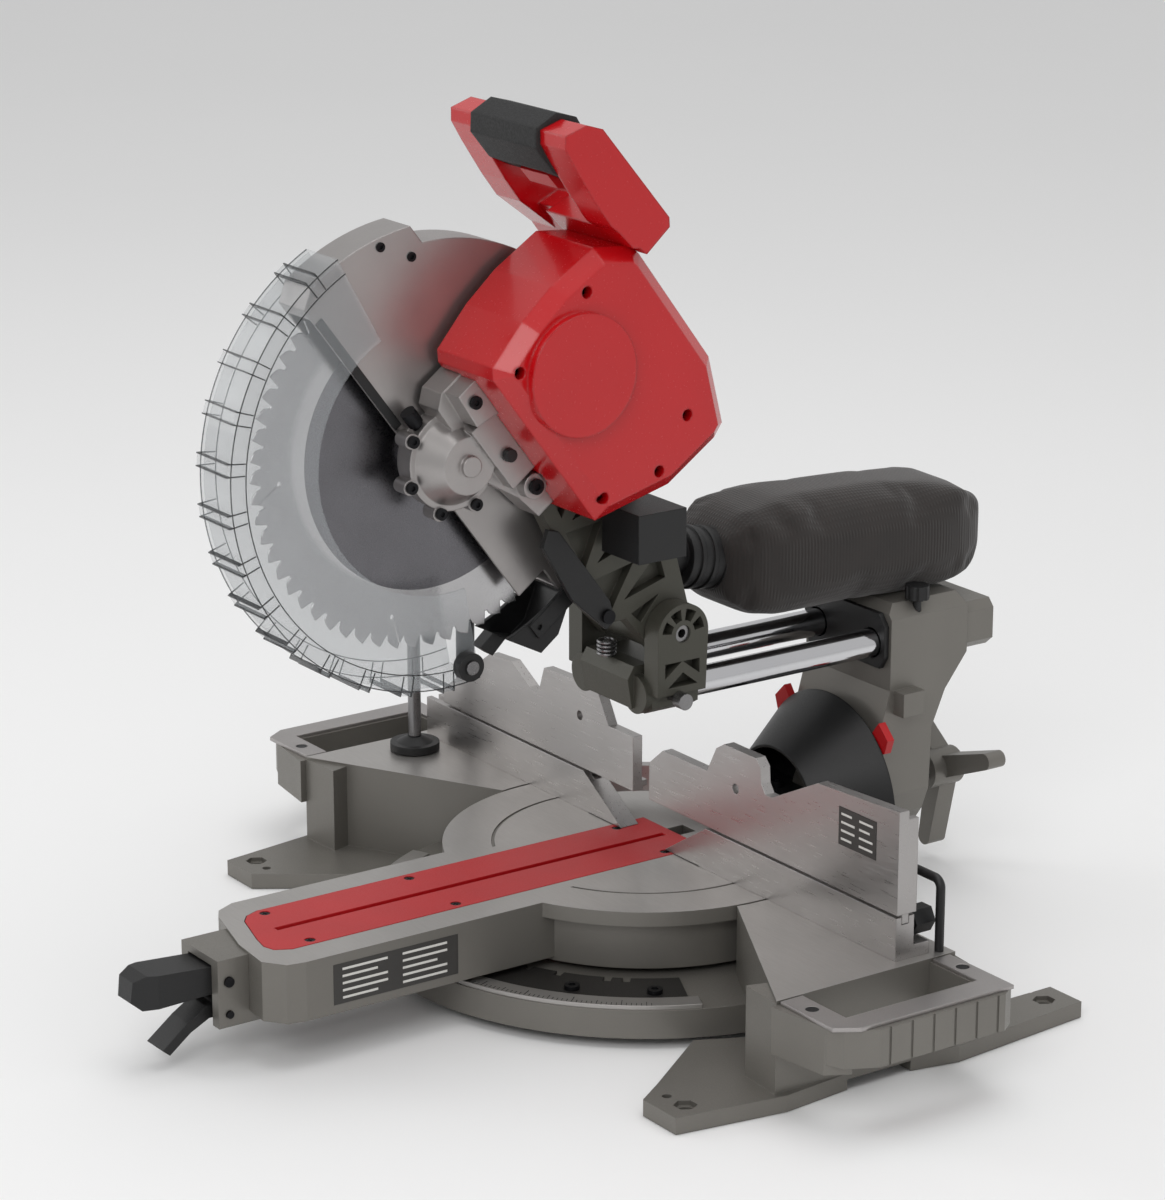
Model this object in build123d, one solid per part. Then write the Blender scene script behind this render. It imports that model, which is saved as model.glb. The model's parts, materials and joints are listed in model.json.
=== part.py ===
# Sliding compound miter saw, head raised and rails drawn forward.
# Units are millimetres.  X runs to the operator's right, Y to the back of the saw, Z up.
# The origin is the centre of the four bench-bolt holes, on the bench.
from build123d import *
from math import sin, cos, radians, degrees, atan2, hypot, pi
import os

os.makedirs("parts", exist_ok=True)

# ---------------------------------------------------------------- driving dimensions
BOLT_X, BOLT_Y = 303.0, 170.5        # bench-bolt hole centres
BOLT_R = 5.5
TABLE_Z = 86.0                       # work surface above the bench
FOOT_T = 13.0
PIVOT_Y = 10.0                       # miter axis and fence face
TURN_R = 160.0                       # turntable radius
RING_R, RING_Z = 221.0, 31.0         # miter scale ring, radius and seat height
GAP = 0.4                            # running gap between moving castings
SHAFT_GAP = 0.06                     # radial clearance of a shaft in its bore

FENCE_T = 17.0                       # lower fence thickness
FENCE_LOW = 122.0                    # top of the lower fence
FENCE_SCREWS = (200.0, 262.0)
KNOB_X, KNOB_Z = (-240.0, 300.0), 107.5   # fence clamp knobs
POST_X, POST_Y = -296.0, 36.0        # clamp post
CLAMP_X, CLAMP_Y = -290.0, -20.0     # clamp screw

BEVEL_Z = 86.0                       # bevel axis height, on the work surface
DRUM_Y0, DRUM_Y1 = 142.0, 198.0      # bevel scale drum, front and rear
DRUM_R0, DRUM_R1 = 52.0, 88.0
HOUSING_Y0, HOUSING_Y1 = 204.0, 296.0
HOUSING_HALF = 55.0

RAIL_X, RAIL_Z, RAIL_R = 35.0, 223.5, 11.5
RAIL_Y0, RAIL_Y1 = -12.0, 322.0

HEAD_Y, HEAD_Z = 4.0, 274.0          # head pivot
HEAD_LIFT = 53.0                     # degrees from the level head to the raised head
ARBOR_Y, ARBOR_Z = -243.0, 217.0     # blade axis with the head level
BLADE_R = 152.4
MESH_DIR = 101.7                     # direction from the blade axis to the motor axis
FINAL_MODULE, FINAL_GEAR, FINAL_PINION = 1.75, 38, 18
FIRST_MODULE, FIRST_GEAR, FIRST_PINION = 1.5, 45, 15
SLIDE = 180.0                        # travel of the rails


# ---------------------------------------------------------------- building blocks
def block(x0, x1, y0, y1, z0, z1):
    return Pos((x0 + x1) / 2, (y0 + y1) / 2, (z0 + z1) / 2) * Box(x1 - x0, y1 - y0, z1 - z0)


def rod_x(y, z, r, x0, x1):
    return Pos((x0 + x1) / 2, y, z) * Rot(0, 90, 0) * Cylinder(r, x1 - x0)


def rod_y(x, z, r, y0, y1):
    return Pos(x, (y0 + y1) / 2, z) * Rot(90, 0, 0) * Cylinder(r, y1 - y0)


def rod_z(x, y, r, z0, z1):
    return Pos(x, y, (z0 + z1) / 2) * Cylinder(r, z1 - z0)


def outline_face(points):
    """Flat face of an outline, always wound the same way round."""
    area = sum(a[0] * b[1] - b[0] * a[1] for a, b in zip(points, points[1:] + points[:1]))
    return Polygon(*(points if area > 0 else points[::-1]), align=None)


def prism_x(points, x0, x1):
    """Outline of (y, z) points, carried from x0 to x1."""
    return extrude(Plane.YZ.offset(x0) * outline_face(points), x1 - x0, dir=(1, 0, 0))


def prism_y(points, y0, y1):
    """Outline of (x, z) points, carried from y0 to y1."""
    return extrude(Plane.XZ.offset(-y0) * outline_face(points), y1 - y0, dir=(0, 1, 0))


def prism_z(points, z0, z1):
    """Outline of (x, y) points, carried from z0 to z1."""
    return extrude(Plane.XY.offset(z0) * outline_face(points), z1 - z0, dir=(0, 0, 1))


def flip(shape):
    """The same shape on the other side of the saw."""
    return mirror(shape, about=Plane.YZ)


def polar(y, z, r, angle):
    """(y, z) of a point at a radius and angle about a centre; 0 is back and 90 is up."""
    return y + r * cos(radians(angle)), z + r * sin(radians(angle))


def sector_x(y, z, r_in, r_out, a0, a1, x0, x1):
    """Part of a ring about an X axis, between two angles."""
    ring = rod_x(y, z, r_out, x0, x1) - rod_x(y, z, r_in, x0 - 1, x1 + 1)
    reach = r_out * 1.6
    steps = 8
    wedge = [(y, z)]
    for i in range(steps + 1):
        wedge.append(polar(y, z, reach, a0 + (a1 - a0) * i / steps))
    return ring & prism_x(wedge, x0, x1)


def raised(shape):
    """A head part drawn with the head level, put where the raised head holds it."""
    return Pos(0, HEAD_Y, HEAD_Z) * Rot(-HEAD_LIFT, 0, 0) * Pos(0, -HEAD_Y, -HEAD_Z) * shape


def save(name, shape):
    shape.label = name
    export_step(shape, "parts/" + name + ".step")


def merge(shapes):
    """Separate solids kept together in one node."""
    solids = []
    for shape in shapes:
        solids.extend(shape.solids())
    return Compound(children=[Solid(s.wrapped) for s in solids])


def cap_screw(x, y, z, r=4.0, head=3.0, shank=9.0, r_shank=1.9, turn=Rot(0, 0, 0)):
    """Socket-head screw whose head sits on z, pointing along its turn."""
    screw = Cylinder(r, head, align=(Align.CENTER, Align.CENTER, Align.MIN))
    screw += Cylinder(r_shank, shank, align=(Align.CENTER, Align.CENTER, Align.MAX))
    screw -= Pos(0, 0, head - 1.6) * extrude(RegularPolygon(r * 0.5, 6), 2.0)
    return Pos(x, y, z) * turn * screw


# ---------------------------------------------------------------- base
def foot(points):
    return prism_z(points, 0, FOOT_T)


def base_casting():
    front = prism_z([(140, -6), (326, -107), (326, 60), (140, 60)], 8, TABLE_Z)
    hollow = prism_z([(184, -14), (318, -86), (318, 26), (184, 26)], 0, TABLE_Z - 8)
    leg = prism_z([(286, -104), (326, -107), (326, -40), (298, -62)], 0, TABLE_Z - 2)
    front_foot = foot([(212, -96), (262, -166), (278, -190), (318, -190), (332, -100), (326, -40),
                       (240, -40)])
    rear_foot = foot([(262, 40), (286, 100), (286, 192), (322, 192), (334, 60), (326, 20), (262, 20)])
    side = front - hollow + leg + front_foot + rear_foot
    side -= rod_z(0, PIVOT_Y, TURN_R + 2.5, 0, TABLE_Z + 1)
    floor = rod_z(0, PIVOT_Y, RING_R, 8, RING_Z)
    floor -= rod_z(0, PIVOT_Y, RING_R - 10, 0, RING_Z - 7)
    floor -= block(-260, 260, 152, 260, 0, 90)
    floor += rod_z(0, PIVOT_Y, 34, 8, RING_Z + 4)
    base = floor + side + flip(side)
    for x in (-BOLT_X, BOLT_X):
        for y in (-BOLT_Y, BOLT_Y):
            base -= rod_z(x, y, BOLT_R, -1, FOOT_T + 1)
            base -= Pos(x, y, FOOT_T - 4) * extrude(RegularPolygon(9.0, 6), 6)
            base -= rod_z(x - 20 * (1 if x > 0 else -1), y + 2 * (1 if y > 0 else -1), 3.6, -1, FOOT_T + 1)
    base -= rod_z(0, PIVOT_Y, 12 + SHAFT_GAP, 0, 90)
    base -= rod_z(POST_X, POST_Y, 8.0, 30, 90)
    for x in FENCE_SCREWS:
        for sign in (-1, 1):
            base -= rod_z(sign * x, 35, 3.0, 70, 90)
    return base


def ring_sector(r_in, r_out, z0, z1, half_angle):
    ring = rod_z(0, PIVOT_Y, r_out, z0, z1) - rod_z(0, PIVOT_Y, r_in, z0 - 1, z1 + 1)
    reach = 400
    points = [(0, PIVOT_Y)]
    for i in range(9):
        a = radians(-90 - half_angle + 2 * half_angle * i / 8)
        points.append((reach * cos(a), PIVOT_Y + reach * sin(a)))
    return ring & prism_z(points, z0, z1)


def miter_scale_ring():
    return ring_sector(204, RING_R - 1, RING_Z, RING_Z + 3.5, 66)


def detent_plate():
    plate = ring_sector(163.5, 203.4, RING_Z, RING_Z + 2.5, 64)
    for angle in (0, 15, 22.5, 31.6, 45, 50):
        for sign in (-1, 1):
            a = radians(-90 + sign * angle)
            x, y = 163 * cos(a), PIVOT_Y + 163 * sin(a)
            plate -= Pos(x, y, RING_Z + 1) * Rot(0, 0, degrees(a)) * Box(16, 6, 6)
    for angle in (-57, -38, -7, 7, 38, 57):
        a = radians(-90 + angle)
        plate -= rod_z(192 * cos(a), PIVOT_Y + 192 * sin(a), 3.0, RING_Z - 1, RING_Z + 4)
    return plate


def detent_screws():
    screws = []
    for angle in (-57, -38, -7, 7, 38, 57):
        a = radians(-90 + angle)
        screws.append(cap_screw(192 * cos(a), PIVOT_Y + 192 * sin(a), RING_Z + 2.5, r=6, head=3.5,
                        shank=2.4))
    return merge(screws)


def lower_fence():
    blade = prism_y([(29, TABLE_Z), (83, FENCE_LOW - 2), (317, FENCE_LOW - 2), (317, TABLE_Z)], PIVOT_Y,
                    PIVOT_Y + FENCE_T)
    blade += prism_y([(60, 101), (83, FENCE_LOW - 2), (90, FENCE_LOW - 2), (90, 101)], PIVOT_Y,
                     PIVOT_Y + FENCE_T)
    flange = block(178, 317, PIVOT_Y + FENCE_T, 42, TABLE_Z, TABLE_Z + 10)
    arch = rod_z(0, PIVOT_Y, 96, 96, 118) - rod_z(0, PIVOT_Y, 87, 95, 119)
    arch &= block(-100, 100, PIVOT_Y + 8, 120, 90, 120)
    groove = block(70, 400, PIVOT_Y + 5, PIVOT_Y + 12.0, FENCE_LOW - 8, FENCE_LOW)
    side = blade + flange - groove
    side -= prism_z([(27, 0), (200, PIVOT_Y + 26), (27, 40)], TABLE_Z - 1, TABLE_Z + 0.5)
    fence = side + flip(side) + arch
    fence -= block(-96.5, 96.5, PIVOT_Y + 5, PIVOT_Y + 12, FENCE_LOW - 8, FENCE_LOW)
    for x in FENCE_SCREWS:
        for sign in (-1, 1):
            fence -= rod_z(sign * x, 35, 3.0, 80, 100)
    fence -= rod_z(POST_X, POST_Y, 8.0, 80, 140)
    for x in KNOB_X:
        fence -= rod_y(x, KNOB_Z, 5.5 + SHAFT_GAP, PIVOT_Y + 8, PIVOT_Y + FENCE_T + 1)
    return fence


def base_screws():
    screws = []
    for x in FENCE_SCREWS:
        for sign in (-1, 1):
            screws.append(cap_screw(sign * x, 35, TABLE_Z + 10, r=5.5, head=5, shank=25.8, r_shank=3.0))
    for sign in (-1, 1):
        for y in (-95, 45):
            screws.append(rod_z(sign * 352, y, 5.0, 84, 85.7) + rod_z(sign * 352, y, 2.4, 66, 84))
    return merge(screws)


def support_plate():
    plate = prism_z([(328, -105), (388, -105), (399, -88), (400, 53), (328, 53), (328, 37), (378, 37),
                     (378, -85), (328, -85)], 83, TABLE_Z)
    for y in (-95, 45):
        plate -= rod_z(352, y, 2.4, 80, 90) + rod_z(352, y, 5.1, 84, 90)
    return plate


def carry_handle():
    arms = prism_z([(326, -112), (378, -104), (388, -86), (326, -84)], 46, 83)
    arms += prism_z([(326, 36), (386, 36), (388, 53), (326, 60)], 46, 83)
    arms += prism_z([(376, -104), (392, -97), (404, -74), (404, 42), (396, 54), (376, 54)], 54, 83)
    for i in range(6):
        y = -66 + 20 * i
        arms -= block(402.8, 406, y, y + 2.2, 50, 84)
    arms -= block(376.5, 381, -80, 32, 50, 70)
    for y in (-95, 45):
        arms -= rod_z(352, y, 2.4, 66, 90)
    return arms


def fence_bail():
    """Round-bar bail standing on the table behind the right fence."""
    path = FilletPolyline((318, 51, TABLE_Z), (318, 51, 142), (272, 51, 142), (272, 51, TABLE_Z), radius=7)
    profile = Plane(path @ 0, z_dir=path % 0) * Circle(3.5)
    return sweep(profile, path=path)


# ---------------------------------------------------------------- turntable
def turntable():
    disc = rod_z(0, PIVOT_Y, TURN_R, 74, TABLE_Z)
    skirt = rod_z(0, PIVOT_Y, TURN_R - 10, 36, 76) - rod_z(0, PIVOT_Y, TURN_R - 18, 30, 74)
    hub = rod_z(0, PIVOT_Y, 26, RING_Z + 4 + GAP, 76)
    arm = prism_z(ARM_PLAN, 39, TABLE_Z)
    arm -= prism_z([(-58, -120), (-58, -336), (58, -350), (60, -120)], 30, TABLE_Z - 14)
    arm -= rod_z(0, PIVOT_Y, TURN_R - 18, 30, 74)
    neck = block(-44, 44, 140, 192, 42, TABLE_Z) + rod_y(0, BEVEL_Z, 30, 184, 203)
    neck -= block(-36, 36, 120, 184, 30, 74) + rod_y(0, BEVEL_Z, 14 + SHAFT_GAP, 180, 210)
    web = block(-5, 5, -140, 150, 44, 76) + block(-140, 140, PIVOT_Y - 5, PIVOT_Y + 5, 44, 76)
    table = disc + skirt + hub + arm + neck + web
    table -= prism_z(kerf_outline(0.5), TABLE_Z - 5, TABLE_Z + 1)
    table -= block(-9, 9, -334, 56, 60, TABLE_Z)
    table -= rod_z(0, PIVOT_Y, 8, 30, 60)
    groove = rod_z(0, PIVOT_Y, 121, 85, 87) - rod_z(0, PIVOT_Y, 118.5, 84, 88)
    table -= groove - block(-54, 54, -140, 200, 80, 90)
    for x in (-1, 1):
        for y in (-320, -190, 8):
            table -= rod_z(x * 33, y, 2.2, 70, 90)
    return table


ARM_PLAN = [(-66, -100), (-66, -330), (-58, -346), (-48, -352), (10, -368), (50, -372), (66, -360),
            (69, -345), (69, -100)]


def kerf_outline(extra):
    w = 41 + extra
    return [(-w, -322 - extra), (-w + 5, -334 - extra), (-w + 14, -341 - extra), (10, -352 - extra),
            (25, -355 - extra), (35, -352 - extra), (w, -340 - extra), (w, 40 + extra), (-w, 40 + extra)]


def kerf_plate():
    plate = prism_z(kerf_outline(0), TABLE_Z - 5, TABLE_Z + 0.2)
    plate -= block(-3, 3, -330, 31, 70, 90)
    for x in (-1, 1):
        for y in (-320, -190, 8):
            plate -= rod_z(x * 33, y, 2.3, 70, 90) + rod_z(x * 33, y, 4.2, TABLE_Z - 2.4, 90)
    return plate


def kerf_screws():
    screws = []
    for x in (-1, 1):
        for y in (-320, -190, 8):
            head = rod_z(x * 33, y, 4.0, TABLE_Z - 2.4, TABLE_Z - 0.3) + rod_z(x * 33, y, 2.1, 73,
                        TABLE_Z - 2.4)
            head -= block(x * 33 - 2.5, x * 33 + 2.5, y - 0.5, y + 0.5, TABLE_Z - 1, 90)
            head -= block(x * 33 - 0.5, x * 33 + 0.5, y - 2.5, y + 2.5, TABLE_Z - 1, 90)
            screws.append(head)
    return merge(screws)


def miter_pivot_bolt():
    bolt = rod_z(0, PIVOT_Y, 7.94, 4, 58) + rod_z(0, PIVOT_Y, 12, 8.4, RING_Z + 4)
    return bolt + Pos(0, PIVOT_Y, 0) * extrude(Plane.XY.offset(1.5) * RegularPolygon(14, 6), 6.5)


def handle_bracket():
    """Bracket on the nose of the arm that carries the miter lock lever and the detent lever."""
    body = block(-27, 27, -396, -352, 30, 84) - prism_z(ARM_PLAN, 39, TABLE_Z)
    body -= block(-17.4, 17.4, -398, -378, 24, 78)
    body -= rod_x(-387, 66, 4.0 + SHAFT_GAP, -30, 30) + rod_x(-387, 40, 3.0 + SHAFT_GAP, -30, 30)
    return body


def miter_lever():
    lever = prism_x([(-391, 76), (-448, 80), (-458, 76), (-460, 60), (-452, 53), (-391, 55)], -17, 17)
    lever -= prism_z([(-17.2, -470), (-17.2, -440), (-9, -462)], 40, 90)
    lever -= prism_z([(17.2, -470), (17.2, -440), (9, -462)], 40, 90)
    lever += rod_x(-387, 66, 8, -17, 17) + block(-17, 17, -392, -387, 58, 74)
    lever -= rod_x(-387, 66, 4.0, -30, 30)
    return lever


def miter_lever_pin():
    return rod_x(-387, 66, 3.94, -29, 29)


def detent_lever():
    lever = prism_x([(-384, 34), (-396, 34), (-412, 26), (-430, 12), (-436, 17), (-414, 34), (-398, 44),
                     (-384, 46)], -12, 12)
    lever += rod_x(-387, 40, 7, -12, 12)
    lever -= rod_x(-387, 40, 3.0, -30, 30)
    return lever


def detent_pin():
    return rod_x(-387, 40, 2.94, -29, 29)


def bevel_drum():
    """Half-cone scale drum on the back of the turntable."""
    middle = (DRUM_Y0 + DRUM_Y1) / 2
    cone = Pos(0, middle, BEVEL_Z) * Rot(-90, 0, 0) * Cone(DRUM_R0, DRUM_R1, DRUM_Y1 - DRUM_Y0)
    hollow = Pos(0, middle - 9, BEVEL_Z) * Rot(-90, 0, 0) * Cone(DRUM_R0 - 8, DRUM_R1 - 8,
                        DRUM_Y1 - DRUM_Y0)
    drum = cone - hollow - block(-120, 120, 100, 260, -20, TABLE_Z)
    drum += prism_z([(-58, 150), (58, 150), (82, 188), (-82, 188)], TABLE_Z, TABLE_Z + 7)
    drum -= rod_y(0, BEVEL_Z, 30, 180, 210)
    for sign in (-1, 1):
        drum -= rod_z(sign * 24, 164, 3.0, 80, 100)
    return drum


def drum_screws():
    return merge([cap_screw(sign * 24, 164, TABLE_Z + 7, r=5.5, head=5, shank=6.9,
                        r_shank=3.0) for sign in (-1, 1)])


# ---------------------------------------------------------------- sliding upper fences
def upper_fence_right():
    face = prism_y([(8, FENCE_LOW + GAP), (8, 153), (26, 168), (84, 168), (96, 190), (106, 196), (146, 196),
                    (152, 190), (153, 177), (158, 170), (166, 170), (222, 198), (318, 203), (318,
                        FENCE_LOW + GAP)],
                   PIVOT_Y, PIVOT_Y + 9)
    foot_rib = block(84, 317, PIVOT_Y + 5.4, PIVOT_Y + 11.6, FENCE_LOW - 7.4, FENCE_LOW + 2)
    ribs = block(312, 318, PIVOT_Y + 9, PIVOT_Y + 18, FENCE_LOW + GAP, 196)
    ribs += block(112, 118, PIVOT_Y + 9, PIVOT_Y + 15, FENCE_LOW + GAP, 186)
    ribs += block(8, 317, PIVOT_Y + 9, PIVOT_Y + 14, FENCE_LOW + GAP, FENCE_LOW + 8)
    ribs -= block(8, 84, PIVOT_Y + 10, PIVOT_Y + 16, FENCE_LOW - 2, FENCE_LOW + 3)
    fence = face + foot_rib + ribs
    for x in (121, 275):
        fence -= rod_y(x, 164, 4.0, PIVOT_Y - 1, PIVOT_Y + 12)
    return fence


def upper_fence_left():
    face = prism_y([(-14, FENCE_LOW + GAP), (-14, 168), (-48, 168), (-62, 192), (-66, 195), (-139, 193),
                    (-146, 173),
                    (-152, 168), (-160, 171), (-187, 186), (-219, 184), (-245, 166), (-290, 136),
                    (-290, FENCE_LOW + GAP)], PIVOT_Y, PIVOT_Y + 9)
    foot_rib = block(-289, -84, PIVOT_Y + 5.4, PIVOT_Y + 11.6, FENCE_LOW - 7.4, FENCE_LOW + 2)
    ribs = block(-290, -284, PIVOT_Y + 9, PIVOT_Y + 16, FENCE_LOW + GAP, 134)
    ribs += block(-118, -112, PIVOT_Y + 9, PIVOT_Y + 15, FENCE_LOW + GAP, 184)
    ribs += block(-289, -14, PIVOT_Y + 9, PIVOT_Y + 14, FENCE_LOW + GAP, FENCE_LOW + 8)
    ribs -= block(-84, -14, PIVOT_Y + 10, PIVOT_Y + 16, FENCE_LOW - 2, FENCE_LOW + 3)
    fence = face + foot_rib + ribs
    fence -= rod_y(-88, 166, 4.0, PIVOT_Y - 1, PIVOT_Y + 12)
    return fence


def fence_knob(x):
    """Faceted clamp knob behind the lower fence, on its stud."""
    y0 = PIVOT_Y + FENCE_T + 8
    corners = [radians(60 * i) for i in range(6)]
    knob = prism_y([(x + 11 * cos(a), KNOB_Z + 11 * sin(a)) for a in corners], y0, y0 + 18)
    return knob + rod_y(x, KNOB_Z, 5.5, PIVOT_Y + 9, y0 + 1)


# ---------------------------------------------------------------- hold-down clamp
def clamp_post():
    return rod_z(POST_X, POST_Y, 8.0, 30, 262)


def clamp_arm():
    arm = rod_z(POST_X, POST_Y, 15, 222, 254) + rod_z(CLAMP_X, CLAMP_Y, 11, 228, 250)
    arm += prism_z([(-306, POST_Y - 8), (-286, POST_Y - 8), (-281, CLAMP_Y + 4), (-299, CLAMP_Y + 4)],
                   232, 246)
    arm -= rod_z(POST_X, POST_Y, 8.0 + SHAFT_GAP, 200, 270) + rod_z(CLAMP_X, CLAMP_Y, 5.5 + SHAFT_GAP,
                        200, 270)
    return arm


def clamp_screw():
    return rod_z(CLAMP_X, CLAMP_Y, 5.5, 99, 272)


def clamp_pad():
    pad = rod_z(CLAMP_X, CLAMP_Y, 21, 87, 93.5)
    dish = Pos(CLAMP_X, CLAMP_Y, 96) * Cone(15.5, 6.5, 5)
    pad += dish
    pad -= rod_z(CLAMP_X, CLAMP_Y, 5.5, 93.6, 110)
    pad += rod_z(CLAMP_X, CLAMP_Y, 5.0, 93, 98.9)
    return pad


def clamp_knob():
    knob = rod_z(CLAMP_X, CLAMP_Y, 17, 272.2, 290)
    for i in range(6):
        a = radians(60 * i)
        knob -= rod_z(CLAMP_X + 19 * cos(a), CLAMP_Y + 19 * sin(a), 6, 270, 292)
    return knob


# ---------------------------------------------------------------- bevel arm
SLIDE_KNOB = (50.0, 246.0)


def bevel_housing():
    side = [(HOUSING_Y0 + 12, 250), (HOUSING_Y0 + 20, 257), (HOUSING_Y1 - 6, 257), (HOUSING_Y1, 246),
            (HOUSING_Y1, 206),
            (274, 178), (261, 148), (258, 60), (HOUSING_Y0 + 2, 60), (HOUSING_Y0 + 2,
                        150), (HOUSING_Y0 + 12, 186)]
    body = prism_x(side, -HOUSING_HALF, HOUSING_HALF)
    face = [(-34, 56), (34, 56), (48, 76), (HOUSING_HALF, 96), (HOUSING_HALF, 246), (46, 257), (-46, 257),
            (-HOUSING_HALF, 246), (-HOUSING_HALF, 96), (-48, 76)]
    body &= prism_y(face, HOUSING_Y0, HOUSING_Y1 + 1)
    body -= block(-22, 22, HOUSING_Y0 + 24, HOUSING_Y1 + 2, 206, 247)
    body -= block(-44, 44, HOUSING_Y0 + 14, 250, 104, 196)
    for x in (-RAIL_X, RAIL_X):
        body -= rod_y(x, RAIL_Z, RAIL_R + 3.0, 200, 300)
    body += block(HOUSING_HALF - 2, 68, HOUSING_Y0 + 16, HOUSING_Y0 + 38, 166, 186)
    body -= rod_y(0, BEVEL_Z, 14, 200, 300)
    body -= rod_z(SLIDE_KNOB[0], SLIDE_KNOB[1], 3.5, 200, 260)
    return body


def rail_plate():
    plate = prism_y([(-46, 204), (46, 204), (52, 214), (52, 240), (44, 250), (-44, 250), (-52, 240),
                     (-52, 214)],
                    HOUSING_Y0 + 7.5, HOUSING_Y0 + 11.8)
    for x in (-RAIL_X, RAIL_X):
        plate -= rod_y(x, RAIL_Z, RAIL_R + 1.0, 200, 300)
    return plate


def rail_bushings():
    sleeves = []
    for x in (-RAIL_X, RAIL_X):
        for y0 in (HOUSING_Y0 + 14, HOUSING_Y1 - 32):
            sleeves.append(rod_y(x, RAIL_Z, RAIL_R + 3.0, y0, y0 + 30) - rod_y(x, RAIL_Z, RAIL_R + 0.05,
                        190, 310))
    return merge(sleeves)


def bevel_pivot_bolt():
    return rod_y(0, BEVEL_Z, 14, 190, 262) + rod_y(0, BEVEL_Z, 8, 262, 320)


def bevel_pointer(sign):
    """Red pointer on the housing face, reading against the drum."""
    outline = [(48, 146), (62, 164), (74, 152), (70, 140), (58, 136)]
    return prism_y([(sign * x, z) for x, z in outline], HOUSING_Y0 - 5, HOUSING_Y0 + 2)


def bevel_lock_handle():
    y0, y1 = 312, 330
    hub = rod_y(0, BEVEL_Z, 16, 300, 332)
    for angle in (-100, 20, 140):
        a = radians(angle)
        tip = (66 * cos(a), BEVEL_Z + 66 * sin(a))
        nx, nz = -sin(a), cos(a)
        arm = prism_y([(10 * nx, BEVEL_Z + 10 * nz), (-10 * nx, BEVEL_Z - 10 * nz),
                       (tip[0] - 7 * nx, tip[1] - 7 * nz),
                       (tip[0] + 7 * nx, tip[1] + 7 * nz)], y0, y1)
        hub += arm + rod_y(tip[0], tip[1], 7, y0, y1)
    return hub - rod_y(0, BEVEL_Z, 8 + SHAFT_GAP, 290, 322)


def slide_lock_knob():
    x, y = SLIDE_KNOB
    knob = rod_z(x, y, 10, 258.5, 270)
    for i in range(8):
        a = radians(45 * i)
        knob -= rod_z(x + 11.5 * cos(a), y + 11.5 * sin(a), 2.6, 250, 280)
    return knob + rod_z(x, y, 3.4, 240, 259)


# ---------------------------------------------------------------- slide carriage
def slide_rails():
    rails = []
    for x in (-RAIL_X, RAIL_X):
        rails.append(rod_y(x, RAIL_Z, RAIL_R, RAIL_Y0, RAIL_Y1) - rod_y(x, RAIL_Z, 8.5, RAIL_Y0 - 1,
                        RAIL_Y1 + 1))
    return merge(rails)


def trunnion():
    lower = prism_y([(-46, 212), (-40, 208), (40, 208), (50, 214), (50, 234), (46, 240), (-46, 240),
                     (-50, 234), (-50, 216)],
                    -18, 26)
    lower += prism_x([(-26, 212), (-30, 236), (-24, 246), (-10, 246), (0, 212)], -30, 34)
    for x in (-RAIL_X, RAIL_X):
        lower += rod_y(x, RAIL_Z, 15.5, -24, 26)
    ear = prism_x([(-20, 226), (26, 226), (27, 250), (28, HEAD_Z), (-20, HEAD_Z)], 42, 60)
    ear += rod_x(HEAD_Y, HEAD_Z, 24, 42, 60)
    pockets = prism_x([(-13, 240), (3, 252), (-13, 252)], 50,
                      62) + prism_x([(20, 240), (4, 252), (20, 252)], 50, 62)
    pockets += prism_x([(-10, 232), (18, 232), (4, 243)], 50, 62)
    for i in range(8):
        a = 22 + 45 * i
        if not 200 < a % 360 < 340:
            pockets += sector_x(HEAD_Y, HEAD_Z, 11, 20, a - 15, a + 15, 50, 62)
    ear -= pockets
    body = lower + ear + flip(ear)
    body -= rod_x(HEAD_Y, HEAD_Z, 7.0, -80, 80)
    for x in (-RAIL_X, RAIL_X):
        body -= rod_y(x, RAIL_Z, RAIL_R, RAIL_Y0, 40)
    return body - rod_x(0, 222, 3.5 + SHAFT_GAP, 47, 64)


def head_pivot_pin():
    return rod_x(HEAD_Y, HEAD_Z, 6.94, -58, 58) - rod_x(HEAD_Y, HEAD_Z, 3.5, -60, 60)


def rear_cap():
    cap = prism_y([(-44, 205), (44, 205), (52, 212), (52, 238), (46, 245), (-46, 245), (-52, 238),
                   (-52, 212)],
                  HOUSING_Y1 + 1.0, 326)
    for x in (-RAIL_X, RAIL_X):
        cap -= rod_y(x, RAIL_Z, RAIL_R, 280, RAIL_Y1)
    return cap


def return_spring():
    coils = [Pos(0, -26, 249 + 3.2 * i) * Torus(6.5, 1.3) for i in range(4)]
    post = rod_z(0, -26, 3, 246, 259)
    return merge(coils + [post])


# ---------------------------------------------------------------- head, drawn level
INT_Y, INT_Z = polar(ARBOR_Y, ARBOR_Z, 49.0, MESH_DIR)
MOTOR_Y, MOTOR_Z = polar(ARBOR_Y, ARBOR_Z, 94.0, MESH_DIR)
SHELL = [(-313, 261), (-322, 300), (-325, 334), (-322, 378), (-300, 403), (-290, 405), (-183, 405),
         (-133, 384), (-129, 372), (-131, 320), (-157, 256), (-305, 256)]
GEAR_PLAN = [(-298, 236), (-290, 226), (-214, 224), (-186, 236), (-162, 240), (-162, 300), (-184, 330),
             (-290, 330), (-298, 300)]
CORE = [(-402, 402), (-400, 420), (-388, 426), (-370, 424), (-364, 412), (-368, 402), (-386, 398)]


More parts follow.
